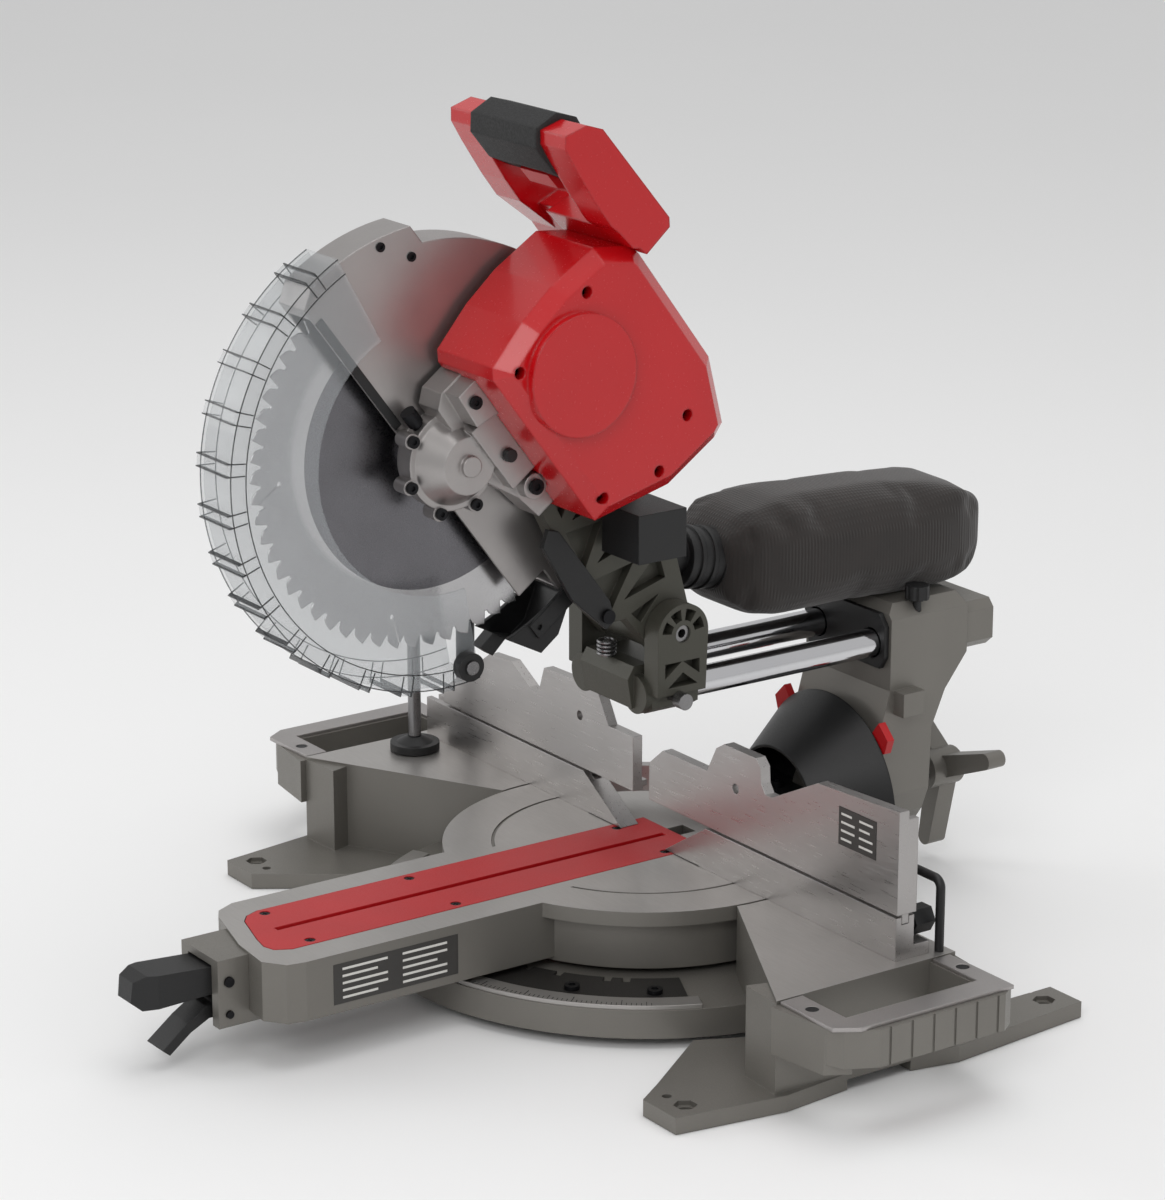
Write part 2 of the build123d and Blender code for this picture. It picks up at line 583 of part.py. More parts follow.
def head_arm():
    plate = prism_x([(-40, 239), (-33, 250), (16, 254), (24, 270), (22, 288), (2, 298), (-64, 324),
                     (-120, 320), (-184, 300),
                     (-184, 251), (-110, 238)], 26, 41.4)
    pockets = prism_x([(-172, 262), (-140, 256), (-156, 286)], 33, 50)
    for p in ([(-128, 252), (-92, 246), (-112, 282)], [(-80, 246), (-48, 244), (-64, 282)],
              [(-144, 296), (-120, 298), (-132, 262)], [(-98, 302), (-74, 304), (-88, 258)],
              [(-54, 304), (-32, 296), (-46, 258)], [(-32, 256), (-20, 258), (-26, 284)]):
        pockets += prism_x(p, 33, 50)
    far = prism_x([(-33, 251), (16, 254), (24, 270), (22, 288), (2, 298), (-60, 300), (-66, 262)],
                  -41.4, -30)
    arm = plate - pockets + far + rod_x(HEAD_Y, HEAD_Z, 20, -41.4, 41.4)
    arm += prism_x([(-63, 258), (-50, 250), (-44, 262), (-58, 270)], -31, 27)
    arm -= prism_x(GEAR_PLAN, 20, 50) + prism_x(SHELL, 20, 50)
    return arm - rod_x(HEAD_Y, HEAD_Z, 7.0, -60, 60)


def upper_guard():
    """Cast shell over the top half of the blade, inside the sweep of the clear guard."""
    y, z = ARBOR_Y, ARBOR_Z
    outline = prism_x([(-440, 200), (-60, 200), (-60, 420), (-440, 420)], -30, 30)
    nose = prism_x([(-410, 200), (-424, 222), (-434, 244), (-431, 259), (-404, 296), (-397, 303),
                    (-319, 304),
                    (-319, 200)], -18, 18) & rod_x(y, z, 176, -20, 20)
    shell = (rod_x(y, z, 162, -18, 18) & outline) + nose
    shell -= (rod_x(y, z, 158, -15.5, 15.5) - prism_x([(-500, 100), (-500, 180), (0, 180), (0, 100)],
                        -30, 30))
    shell += rod_x(y, z, 36, 15.5, 22.4) + rod_x(y, z, 26, -22.6, -15.5)
    shell -= rod_x(y, z, 14, -30, 30) + rod_x(y, z, 30, -15.5, 15.5)
    shell -= prism_x([(-104, 196), (-104, 228), (-70, 228), (-70, 196)], -30, 30)
    for py, pz in ((-402, 275), (-378, 290)):
        shell -= rod_x(py, pz, 2.2, 10, 30)
    return shell


def guard_edge_strip():
    return block(18, 19.1, -396, -286, 200, 207)


def nose_screws():
    return merge([cap_screw(18, py, pz, r=3.6, head=1.1, shank=2.4, r_shank=2.2, turn=Rot(0, 90, 0))
                  - block(18.4, 30, py - 0.5, py + 0.5, pz - 3, pz + 3) for py, pz in ((-402, 275),
                        (-378, 290))])


def gear_case():
    y, z = ARBOR_Y, ARBOR_Z
    case = rod_x(y, z, 38.5, 22.4, 37)
    case += Pos(47.5, y, z) * Rot(0, 90, 0) * Cone(34, 22, 21)
    case += rod_x(y, z, 8, 55, 62)
    case += prism_x(GEAR_PLAN, 22.4, 49)
    case += prism_x([(-297, 238), (-268, 236), (-263, 256), (-297, 256)], 47, 68)
    case += block(47, 62, -264, -204, 232, 256)
    case += rod_x(-190, 248, 10, 40, 60) + rod_x(MOTOR_Y, MOTOR_Z, 15, 48, 58)
    for a in (205, 255, 305, 350):
        py, pz = polar(y, z, 41, a)
        case += rod_x(py, pz, 6, 22.4, 37.2)
    case -= rod_x(y, z, 35.4, 24.6, 35.6)
    case -= rod_x(INT_Y, INT_Z, 17.8, 24.6, 36.4) + rod_x(INT_Y, INT_Z, 35.8, 36.4, 46.4)
    case -= rod_x(MOTOR_Y, MOTOR_Z, 13.6, 36.4, 46.4)
    case -= rod_x(y, z, 10 + SHAFT_GAP, 20, 54.4)
    case -= rod_x(INT_Y, INT_Z, 6 + SHAFT_GAP, 23.2, 48.2)
    case -= rod_x(MOTOR_Y, MOTOR_Z, 9.0, 50, 60) + rod_x(MOTOR_Y, MOTOR_Z, 5.4, 34, 70)
    case -= rod_x(-228, 245, 5.0 + SHAFT_GAP, 54, 70)
    for screw in gear_case_screws().solids() + [spindle_stop()]:
        case -= screw
    return case


def gear_case_screws():
    screws = []
    for a in (205, 255, 305, 350):
        py, pz = polar(ARBOR_Y, ARBOR_Z, 41, a)
        screws.append(cap_screw(37.2, py, pz, r=4.6, head=3, shank=8, turn=Rot(0, 90, 0)))
    screws.append(cap_screw(60, -190, 248, r=6, head=3, shank=8, turn=Rot(0, 90, 0)))
    screws.append(cap_screw(68, -284, 246, r=5, head=2.6, shank=8, turn=Rot(0, 90, 0)))
    return merge(screws)


def spur(y, z, teeth, module, phase, x0, x1):
    """Straight-toothed gear with slack flanks."""
    r_pitch = module * teeth / 2
    step = 2 * pi / teeth
    points = []
    for i in range(teeth):
        a = phase + i * step
        for frac, r in ((-0.23, r_pitch - 0.9 * module), (-0.09, r_pitch + 0.55 * module),
                        (0.09, r_pitch + 0.55 * module), (0.23, r_pitch - 0.9 * module)):
            points.append((y + r * cos(a + frac * step), z + r * sin(a + frac * step)))
    return prism_x(points, x0, x1)


def driven_gear():
    gear = spur(ARBOR_Y, ARBOR_Z, FINAL_GEAR, FINAL_MODULE, radians(MESH_DIR), 25.6, 34.6)
    for i in range(5):
        py, pz = polar(ARBOR_Y, ARBOR_Z, 20, 72 * i)
        gear -= rod_x(py, pz, 5, 20, 40)
    return gear - rod_x(ARBOR_Y, ARBOR_Z, 10, 20, 40)


def intermediate_gear():
    back = radians(MESH_DIR + 180)
    pinion = spur(INT_Y, INT_Z, FINAL_PINION, FINAL_MODULE, back + pi / FINAL_PINION, 25.4, 37)
    wheel = spur(INT_Y, INT_Z, FIRST_GEAR, FIRST_MODULE, radians(MESH_DIR), 37, 45.4)
    return pinion + wheel + rod_x(INT_Y, INT_Z, 6, 23.5, 48)


def motor_pinion():
    back = radians(MESH_DIR + 180)
    gear = spur(MOTOR_Y, MOTOR_Z, FIRST_PINION, FIRST_MODULE, back + pi / FIRST_PINION, 37, 45.6)
    return gear - rod_x(MOTOR_Y, MOTOR_Z, 5, 20, 60)


def arbor_shaft():
    return rod_x(ARBOR_Y, ARBOR_Z, 10, 6, 54) + rod_x(ARBOR_Y, ARBOR_Z, 8, -6.4, 6)


def blade_flanges():
    rings = []
    for x0, x1 in ((-6.2, -1.0), (1.0, 6.0)):
        rings.append(rod_x(ARBOR_Y, ARBOR_Z, 27, x0, x1) - rod_x(ARBOR_Y, ARBOR_Z, 8, -20, 20))
    return merge(rings)


def arbor_bolt():
    head = [(ARBOR_Y + 9 * cos(radians(60 * i)), ARBOR_Z + 9 * sin(radians(60 * i))) for i in range(6)]
    return prism_x(head, -12, -6.4)


def saw_blade():
    teeth = 60
    pitch = 2 * pi / teeth
    profile = ((0.0, BLADE_R), (0.10, BLADE_R - 4.0), (0.24, BLADE_R - 9.6), (0.38, BLADE_R - 9.2),
               (0.46, BLADE_R - 5.0), (0.62, BLADE_R - 2.6), (0.92, BLADE_R - 0.6))
    points = []
    for i in range(teeth):
        for frac, r in profile:
            a = (i + frac) * pitch
            points.append((ARBOR_Y + r * cos(a), ARBOR_Z + r * sin(a)))
    blade = prism_x(points, -1.0, 1.0)
    for i in range(5):
        a = 20 + 72 * i
        root = BLADE_R - 24
        blade -= rod_x(*polar(ARBOR_Y, ARBOR_Z, root, a), 2.0, -3, 3)
        blade -= prism_x([polar(ARBOR_Y, ARBOR_Z, root, a - 0.25),
                        polar(ARBOR_Y, ARBOR_Z, BLADE_R + 2, a + 5.4),
                          polar(ARBOR_Y, ARBOR_Z, BLADE_R + 2, a + 6.0), polar(ARBOR_Y, ARBOR_Z, root,
                        a + 0.25)], -3, 3)
    return blade - rod_x(ARBOR_Y, ARBOR_Z, 8, -3, 3)


GUARD_A0, GUARD_A1 = 172.0, 333.0


def lower_guard():
    y, z = ARBOR_Y, ARBOR_Z
    guard = sector_x(y, z, 179.2, 181.4, GUARD_A0, GUARD_A1, -21.5, 21.5)
    guard += sector_x(y, z, 107, 181.4, GUARD_A0, GUARD_A1, 19.6, 21.5)
    guard += sector_x(y, z, 107, 181.4, GUARD_A0, GUARD_A1, -21.5, -19.6)
    guard += sector_x(y, z, 34, 110, 205, 300, -21.5, -19.6) + rod_x(y, z, 38, -21.5, -19.6)
    for i in range(13):
        a = GUARD_A0 + 8 + i * 12.0
        guard += sector_x(y, z, 181.2, 184.0, a - 1.2, a + 1.2, -21.5, 21.5)
    return guard - rod_x(y, z, 26 + SHAFT_GAP, -30, -10)


def guard_hub():
    """Washer that keeps the clear guard on the boss of the upper guard."""
    return rod_x(ARBOR_Y, ARBOR_Z, 32, -24.6, -22.6) - rod_x(ARBOR_Y, ARBOR_Z, 14, -30, -10)


ROLLER_Y, ROLLER_Z = polar(ARBOR_Y, ARBOR_Z, 166, GUARD_A1 - 4)


def guard_roller():
    return rod_x(ROLLER_Y, ROLLER_Z, 11, 23, 32) - rod_x(ROLLER_Y, ROLLER_Z, 3 + SHAFT_GAP, 0, 40)


def guard_roller_pin():
    return rod_x(ROLLER_Y, ROLLER_Z, 3, 21.5, 32.4) + rod_x(ROLLER_Y, ROLLER_Z, 5.4, 32.4, 34)


def guard_link():
    bar = prism_x([(-146, 240), (-138, 246), (-60, 246), (-44, 240), (-44, 230), (-86, 222),
                   (-138, 228)], 43.2, 48)
    return bar - rod_x(-52, 237, 3 + SHAFT_GAP, 30, 60)


def guard_link_pin():
    return rod_x(-52, 237, 3, 41.4, 48.6) + rod_x(-52, 237, 5.5, 48.6, 51)


def dust_chute():
    outer = prism_x([(-117, 204), (-106, 191), (-91, 168), (-56, 185), (-56, 205), (-72, 232), (-84, 240),
                     (-114, 231)], -22.5, 22.5)
    inner = prism_x([(-130, 204), (-112, 187), (-96, 160), (-60, 188), (-60, 204), (-75, 229), (-86, 236),
                     (-126, 228)], -19, 19)
    chute = outer - inner - rod_x(ARBOR_Y, ARBOR_Z, 162.4, -40, 40)
    return chute + prism_x([(-90, 169), (-78, 175), (-76, 158), (-89, 154)], -6, 6)


def chute_strap():
    return block(22.5, 25, -82, -68, 190, 240) - rod_x(-75, 196, 2.2, 0, 40)


def dust_pipe():
    """Elbow over the pivot from the chute to the bag collar, drawn with the head raised."""
    path = [(-96, 300), (-66, 322), (-20, 330), (20, 323), (58, 313)]
    pipe = None
    for (y0, z0), (y1, z1) in zip(path, path[1:]):
        length, tilt = hypot(y1 - y0, z1 - z0), degrees(atan2(z1 - z0, y1 - y0))
        piece = Pos(0, (y0 + y1) / 2, (z0 + z1) / 2) * Rot(tilt - 90, 0, 0) * Cylinder(17, length)
        pipe = piece if pipe is None else pipe + piece
        pipe += Pos(0, y1, z1) * Sphere(17)
    taken = prism_x([(-117, 190), (-56, 160), (-56, 205), (-72, 232), (-84, 240), (-114, 231)], -30, 30)
    taken += rod_x(ARBOR_Y, ARBOR_Z, 163, -30, 30)
    return pipe - raised(taken) - raised(head_arm())


def pipe_collar():
    collar = Pos(0, 62, 312) * Rot(-100, 0, 0) * Cylinder(24, 44)
    for i in range(3):
        t = -12 + 12 * i
        collar += Pos(0, 62 + t * 0.985, 312 - t * 0.174) * Rot(-100, 0, 0) * Cylinder(25.5, 4)
    return collar


def dust_bag():
    """Stuffed cloth bag, drawn with the head raised."""
    side = prism_x([(76, 284), (86, 274), (120, 266), (280, 264), (310, 268), (322, 284), (322, 326),
                    (300, 336),
                    (220, 342), (130, 346), (90, 340), (76, 326)], -50, 38)
    plan = prism_z([(-34, 76), (-50, 100), (-50, 296), (-40, 322), (28, 322), (38, 296), (38, 100),
                    (24, 76)], 200, 400)
    return side & plan


def motor_housing():
    shell = prism_x(SHELL, 26, 110)
    shell = chamfer(shell.faces().sort_by(Axis.X)[-1].edges(), 11)
    shell += rod_x(MOTOR_Y, MOTOR_Z, 46, 90, 117)
    cavity = prism_x([(-300, 266), (-308, 320), (-306, 370), (-288, 394), (-190, 394), (-146, 376),
                      (-142, 324),
                      (-168, 266)], 30, 100)
    cavity += rod_x(MOTOR_Y, MOTOR_Z, 42, 30, 113)
    shell -= cavity
    shell -= prism_x([(-299, 250), (-299, 300), (-291, 331), (-183, 331), (-161, 301), (-161, 250)], 20,
                     49.2)
    shell -= rod_x(MOTOR_Y, MOTOR_Z, 15.2, 20, 60) + rod_x(-190, 248, 10.2, 20, 63.4)
    for py, pz in HOUSING_SCREWS:
        shell -= rod_x(py, pz, 4.6, 88, 130) + rod_x(py, pz, 2.0, 60, 130)
    return shell


HOUSING_SCREWS = ((-306, 350), (-300, 272), (-168, 360), (-152, 316), (-172, 268))


def housing_screws():
    return merge([rod_x(py, pz, 4.4, 88, 91) + rod_x(py, pz, 1.9, 72, 88) - rod_x(py, pz, 1.8, 89.5, 92)
                  for py, pz in HOUSING_SCREWS])


def motor_stator():
    ring = rod_x(MOTOR_Y, MOTOR_Z, 42, 72, 102) - rod_x(MOTOR_Y, MOTOR_Z, 27, 60, 120)
    for i in range(12):
        ring -= rod_x(*polar(MOTOR_Y, MOTOR_Z, 31, 30 * i), 3.2, 60, 120)
    return ring


def motor_rotor():
    rotor = rod_x(MOTOR_Y, MOTOR_Z, 26, 72, 102) + rod_x(MOTOR_Y, MOTOR_Z, 5, 37, 111)
    fan = rod_x(MOTOR_Y, MOTOR_Z, 38, 67.5, 70)
    for i in range(9):
        a = radians(40 * i)
        blade = Pos(64.5, MOTOR_Y, MOTOR_Z) * Rot(40 * i, 0, 0) * Pos(0, 24, 0) * Box(7, 20, 1.6)
        fan += blade
    return rotor + fan


def motor_bearings():
    front = rod_x(MOTOR_Y, MOTOR_Z, 9.0, 50, 57.8) - rod_x(MOTOR_Y, MOTOR_Z, 5 + SHAFT_GAP, 40, 120)
    rear = rod_x(MOTOR_Y, MOTOR_Z, 42, 107, 110.6) - rod_x(MOTOR_Y, MOTOR_Z, 5 + SHAFT_GAP, 40, 120)
    return merge([front, rear])


def controller_board():
    return block(52, 98, -300, -284, 364, 366) + block(58, 92, -298, -288, 366, 372)


def spindle_stop():
    """Dark stop barrel beside the lower edge of the guard."""
    return rod_y(28.8, 213, 6, -296, -284) + rod_y(28.8, 213, 4.4, -284, -280)


def handle_arm(x0, x1):
    return prism_x([(-410, 404), (-404, 422), (-392, 431), (-300, 436), (-294, 432), (-292, 405),
                    (-330, 394),
                    (-352, 394), (-384, 396), (-402, 398)], x0, x1)


def d_handle():
    hand = handle_arm(79, 111) + handle_arm(-38, -6) + prism_x(CORE, -10, 84)
    hand += prism_x([(-318, 405), (-314, 424), (-290, 430), (-222, 428), (-216, 405)], -38, 24)
    hand += prism_x([(-324, 396), (-318, 424), (-302, 430), (-294, 400)], 20, 111)
    hand -= rod_x(ARBOR_Y, ARBOR_Z, 186, -60, 25.9) + prism_x(SHELL, 25.8, 120)
    hand -= block(20, 57, -374, -350, 397, 415)
    return hand - rod_z(-22, -372, 7 + SHAFT_GAP, 420, 440)


def grip_sleeve():
    outer = prism_x([(-413, 402), (-410, 422), (-396, 433), (-372, 431), (-357, 418), (-358, 404),
                     (-376, 394),
                     (-402, 393)], -6, 79)
    return outer - prism_x(CORE, -20, 90) - block(20, 57, -374, -350, 397, 415)


def trigger():
    return prism_x([(-366, 398), (-366, 414), (-352, 412), (-346, 405), (-352, 399)], 20.4, 56.6)


def lock_off_button():
    return rod_z(-22, -372, 7, 424, 435.4) + Pos(-22, -372, 435.4) * Cylinder(5.6, 1.2)


def spindle_lock_button():
    return rod_x(-228, 245, 5, 58, 66.5)


def battery_dock():
    """Empty battery dock on the back of the housing, drawn with the head raised."""
    dock = block(50, 98, -66, -22, 350, 388) - raised(prism_x(SHELL, 20, 120))
    for x in (58, 86):
        dock -= block(x, x + 4, -26, -20, 352, 386)
    return dock


def lock_pin():
    """Push-pull pin that holds the head down for carrying."""
    return rod_x(0, 222, 3.5, 47.6, 60.6) + rod_x(0, 222, 6.5, 60.6, 70)


# ---------------------------------------------------------------- every node
LEVEL_HEAD = {
    "head_arm": head_arm, "upper_guard": upper_guard,
    "gear_case": gear_case, "motor_housing": motor_housing, "controller_board": controller_board, "d_handle": d_handle,
    "grip_sleeve": grip_sleeve, "trigger": trigger, "lock_off_button": lock_off_button,
    "spindle_lock_button": spindle_lock_button, "saw_blade": saw_blade, "driven_gear": driven_gear,
    "intermediate_gear": intermediate_gear, "lower_guard": lower_guard, "guard_roller": guard_roller,
    "guard_roller_pin": guard_roller_pin, "guard_link": guard_link, "dust_chute": dust_chute,
}
STANDING = {
    "base_casting": base_casting,
    "lower_fence": lower_fence, "fence_bail": fence_bail,
    "turntable": turntable, "kerf_plate": kerf_plate, "handle_bracket": handle_bracket,
    "miter_lever": miter_lever, "detent_lever": detent_lever, "bevel_drum": bevel_drum,
    "left_upper_fence": upper_fence_left, "right_upper_fence": upper_fence_right,
    "clamp_arm": clamp_arm, "clamp_screw": clamp_screw, "bevel_housing": bevel_housing, "rail_plate": rail_plate,
    "rail_bushings": rail_bushings, "bevel_lock_handle": bevel_lock_handle,
    "slide_lock_knob": slide_lock_knob, "slide_rails": slide_rails, "trunnion": trunnion,
    "rear_cap": rear_cap, "head_pivot_pin": head_pivot_pin, "return_spring": return_spring,
    "dust_bag": dust_bag,
}

for name, make in STANDING.items():
    save(name, make())
for name, make in LEVEL_HEAD.items():
    save(name, raised(make()))

save("base_fasteners", merge([base_screws(), detent_screws(), miter_pivot_bolt(), clamp_post()]))
save("miter_scale_and_detents", merge([miter_scale_ring(), detent_plate()]))
save("turntable_fasteners", merge([kerf_screws(), drum_screws(), miter_lever_pin(), detent_pin()]))
save("support_plates", merge([support_plate(), flip(support_plate())]))
save("carry_handles", merge([carry_handle(), flip(carry_handle())]))
save("left_fence_knob", fence_knob(KNOB_X[0]))
save("right_fence_knob", fence_knob(KNOB_X[1]))
save("clamp_knob_and_pad", merge([clamp_knob(), clamp_pad()]))
save("bevel_pivot_bolt", merge([bevel_pivot_bolt()]))
save("bevel_pointers", merge([bevel_pointer(1), bevel_pointer(-1)]))
save("head_lock_pin", lock_pin())
save("head_fasteners", raised(merge([gear_case_screws(), housing_screws(), nose_screws(), guard_link_pin(),
                                     guard_hub(), spindle_stop()])))
save("guard_trim", raised(merge([guard_edge_strip(), chute_strap()])))
save("arbor_set", raised(merge([arbor_shaft(), blade_flanges(), arbor_bolt()])))
save("motor_stator", raised(merge([motor_stator(), motor_bearings()])))
save("motor_rotor", raised(merge([motor_rotor(), motor_pinion()])))
save("dust_pipe", merge([dust_pipe() - Pos(0, 62, 312) * Rot(-100, 0, 0) * Cylinder(24, 44),
                        pipe_collar() - dust_bag()]))
save("battery_dock", battery_dock())
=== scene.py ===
# Looks of the sliding miter saw: materials, marks, soft dust bag, light and camera.
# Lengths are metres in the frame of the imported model.
import json
import math

import bmesh
import bpy
from mathutils import Matrix, Vector


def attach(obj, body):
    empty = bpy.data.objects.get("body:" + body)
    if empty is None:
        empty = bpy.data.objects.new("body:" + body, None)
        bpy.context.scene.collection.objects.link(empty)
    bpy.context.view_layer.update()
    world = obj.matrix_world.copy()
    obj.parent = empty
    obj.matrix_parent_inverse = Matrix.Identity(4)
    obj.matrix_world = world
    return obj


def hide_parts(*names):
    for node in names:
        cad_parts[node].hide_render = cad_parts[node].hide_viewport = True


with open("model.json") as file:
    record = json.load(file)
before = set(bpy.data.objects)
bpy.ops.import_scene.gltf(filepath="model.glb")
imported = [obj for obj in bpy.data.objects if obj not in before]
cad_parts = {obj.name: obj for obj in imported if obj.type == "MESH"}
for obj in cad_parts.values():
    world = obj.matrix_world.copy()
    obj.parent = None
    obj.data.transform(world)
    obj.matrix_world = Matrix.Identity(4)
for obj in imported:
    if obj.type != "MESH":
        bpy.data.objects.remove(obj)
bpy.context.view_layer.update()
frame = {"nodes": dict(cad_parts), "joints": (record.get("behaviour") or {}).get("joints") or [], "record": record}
nodes = frame["nodes"]
MM = 0.001
blade_joint = next(joint for joint in frame["joints"] if joint["name"] == "blade_spin")
BLADE_AXIS = tuple(blade_joint["pos_m"])
HEAD_DROP = 53          # degrees from the raised head to the level one
MITER_Y = 10            # the miter axis, in millimetres
DETENT_R = 203.7        # rim of the detent plate, inside the scale ring
SCALE_R = 219           # outer ends of the miter scale's lines
SCALE_TOP = 34.6
TABLE_TOP = 85.0        # faces above this are milled
BLADE_BODY_R = 107      # the blade's polished band starts here
DRUM_AXIS_Z = 86
DRUM_R = 86.3           # outer ends of the bevel scale's lines
DRUM_FRONT_Y = 196.5
GUARD_START = 172 - HEAD_DROP      # one end of the clear guard, in degrees about the blade axis
GUARD_SWEEP = 161


# ---------------------------------------------------------------- shader helpers
def srgb(code):
    """Linear colour of a six-digit hex code."""
    parts = [int(code[i:i + 2], 16) / 255 for i in (0, 2, 4)]
    linear = [p / 12.92 if p <= 0.04045 else ((p + 0.055) / 1.055) ** 2.4 for p in parts]
    return (*linear, 1.0)


def add(tree, kind, links=None, **settings):
    """One node with its settings and its inputs, each a number or another node's output."""
    node = tree.nodes.new(kind)
    for key, value in settings.items():
        setattr(node, key, value)
    for socket, value in (links or {}).items():
        if isinstance(value, bpy.types.NodeSocket):
            tree.links.new(value, node.inputs[socket])
        else:
            node.inputs[socket].default_value = value
    return node


def noise(tree, size_mm, detail=4.0, stretch=(1, 1, 1)):
    """Noise whose features are about size_mm across."""
    place = add(tree, "ShaderNodeTexCoord")
    scaled = add(tree, "ShaderNodeMapping", {"Vector": place.outputs["Object"], "Scale": stretch})
    return add(tree, "ShaderNodeTexNoise", {"Vector": scaled.outputs[0], "Scale": 1 / (size_mm * MM),
                                            "Detail": detail}).outputs["Fac"]


def principled(tree, colour, second, metal=0.0, rough=(0.4, 0.55), mottle_mm=60, grain_mm=1.0, bump=0.05,
               stretch=(1, 1, 1), coat=0.0, edge_mm=0.8, alpha=1.0, specular=0.5):
    """Shader with mottled colour, uneven gloss, grain and softened edges."""
    wide = noise(tree, mottle_mm, 3.0)
    fine = noise(tree, grain_mm, 3.0, stretch)
    mixed = add(tree, "ShaderNodeMix", {0: wide, 6: srgb(colour), 7: srgb(second)}, data_type="RGBA")
    gloss = add(tree, "ShaderNodeMapRange", {"Value": fine, "From Min": 0.3, "From Max": 0.7,
                                             "To Min": rough[0], "To Max": rough[1]})
    soft = add(tree, "ShaderNodeBevel", {"Radius": edge_mm * MM}, samples=4)
    grain = add(tree, "ShaderNodeBump", {"Height": fine, "Strength": bump, "Distance": 0.4 * MM,
                                         "Normal": soft.outputs[0]})
    shader = add(tree, "ShaderNodeBsdfPrincipled", {
        "Base Color": mixed.outputs[2], "Metallic": metal, "Roughness": gloss.outputs[0],
        "Normal": grain.outputs[0], "Coat Weight": coat, "Alpha": alpha, "Specular IOR Level": specular})
    return shader.outputs[0]


def surface(name, *settings, **more):
    """Material of one finish."""
    made = bpy.data.materials.new(name)
    made.use_nodes = True
    tree = made.node_tree
    tree.nodes.clear()
    names = ("colour", "second", "metal", "rough", "mottle_mm", "grain_mm", "bump", "stretch")
    shader = principled(tree, **dict(zip(names, settings)), **more)
    add(tree, "ShaderNodeOutputMaterial", {"Surface": shader})
    return made


def split_surface(name, first, second, mask):
    """Two finishes on one casting: second where the mask built by a function of the tree is 1."""
    made = bpy.data.materials.new(name)
    made.use_nodes = True
    tree = made.node_tree
    tree.nodes.clear()
    shaders = [principled(tree, **first), principled(tree, **second)]
    mixed = add(tree, "ShaderNodeMixShader", {0: mask(tree), 1: shaders[0], 2: shaders[1]})
    add(tree, "ShaderNodeOutputMaterial", {"Surface": mixed.outputs[0]})
    return made


def above(tree, height_mm):
    """1 on faces that look up and lie above a height."""
    place = add(tree, "ShaderNodeTexCoord")
    spot = add(tree, "ShaderNodeSeparateXYZ", {"Vector": place.outputs["Object"]})
    face = add(tree, "ShaderNodeNewGeometry")
    facing = add(tree, "ShaderNodeSeparateXYZ", {"Vector": face.outputs["True Normal"]})
    high = add(tree, "ShaderNodeMath", {0: spot.outputs["Z"], 1: height_mm * MM}, operation="GREATER_THAN")
    flat = add(tree, "ShaderNodeMath", {0: facing.outputs["Z"], 1: 0.9}, operation="GREATER_THAN")
    both = add(tree, "ShaderNodeMath", {0: high.outputs[0], 1: flat.outputs[0]}, operation="MULTIPLY")
    return both.outputs[0]


def outside_detents(tree):
    """1 outside the detent plate's rim, measured from the miter axis."""
    place = add(tree, "ShaderNodeTexCoord")
    moved = add(tree, "ShaderNodeMapping", {"Vector": place.outputs["Object"],
                                            "Location": (0, -MITER_Y * MM, 0), "Scale": (1, 1, 0)})
    reach = add(tree, "ShaderNodeVectorMath", {0: moved.outputs[0]}, operation="LENGTH")
    return add(tree, "ShaderNodeMath", {0: reach.outputs["Value"], 1: DETENT_R * MM},
               operation="GREATER_THAN").outputs[0]


def outside_blade_body(tree):
    """1 on the blade's polished outer band, measured from the blade axis."""
    place = add(tree, "ShaderNodeTexCoord")
    moved = add(tree, "ShaderNodeMapping", {"Vector": place.outputs["Object"],
                                            "Location": tuple(-c for c in BLADE_AXIS)})
    reach = add(tree, "ShaderNodeVectorMath", {0: moved.outputs[0]}, operation="LENGTH")
    return add(tree, "ShaderNodeMath", {0: reach.outputs["Value"], 1: BLADE_BODY_R * MM},
               operation="GREATER_THAN").outputs[0]


# ---------------------------------------------------------------- materials
GREY_COAT = dict(colour="807D77", second="716E69", metal=0.45, rough=(0.36, 0.50), mottle_mm=90,
                 grain_mm=1.1, bump=0.10)
MILLED = dict(colour="B9B6B3", second="A8A5A2", metal=0.8, rough=(0.30, 0.44), mottle_mm=70,
              grain_mm=0.8, bump=0.06, stretch=(0.06, 1, 1))
DARK_PLATE = dict(colour="3B3A38", second="312F2E", metal=0.6, rough=(0.36, 0.50), mottle_mm=30,
                  grain_mm=0.8, bump=0.06)
BLADE_DARK = dict(colour="77767A", second="6A696C", metal=1.0, rough=(0.24, 0.36), mottle_mm=40,
                  grain_mm=0.7, bump=0.04)
BLADE_LIGHT = dict(colour="C4C3C4", second="B4B3B4", metal=1.0, rough=(0.18, 0.28), mottle_mm=40,
                   grain_mm=0.7, bump=0.03)
# Cast alloy with a warm grey powder coat.
powder_grey = surface("powder-coated cast alloy, warm grey", **GREY_COAT)
# The same casting with its work surface milled bright.
milled_table = split_surface("powder-coated casting with a milled top", GREY_COAT, MILLED,
                             lambda tree: above(tree, TABLE_TOP))
# The coat in dark olive grey on the head arm and the trunnion.
powder_olive = surface("powder-coated cast alloy, olive grey", "4E4D45", "44433C", 0.35, (0.40, 0.55),
                       70, 1.0, 0.12)
# Bare cast alloy, tumbled to a satin silver.
cast_silver = surface("tumbled cast aluminium", "B3AFAD", "9F9B9A", 0.9, (0.30, 0.44), 45, 0.9, 0.10,
                      edge_mm=1.6)
# Fence faces: ground along their length.
ground_alloy = surface("ground aluminium", "B4B1B0", "A29F9D", 0.9, (0.26, 0.40), 80, 1.2, 0.06,
                       (0.06, 1, 1))
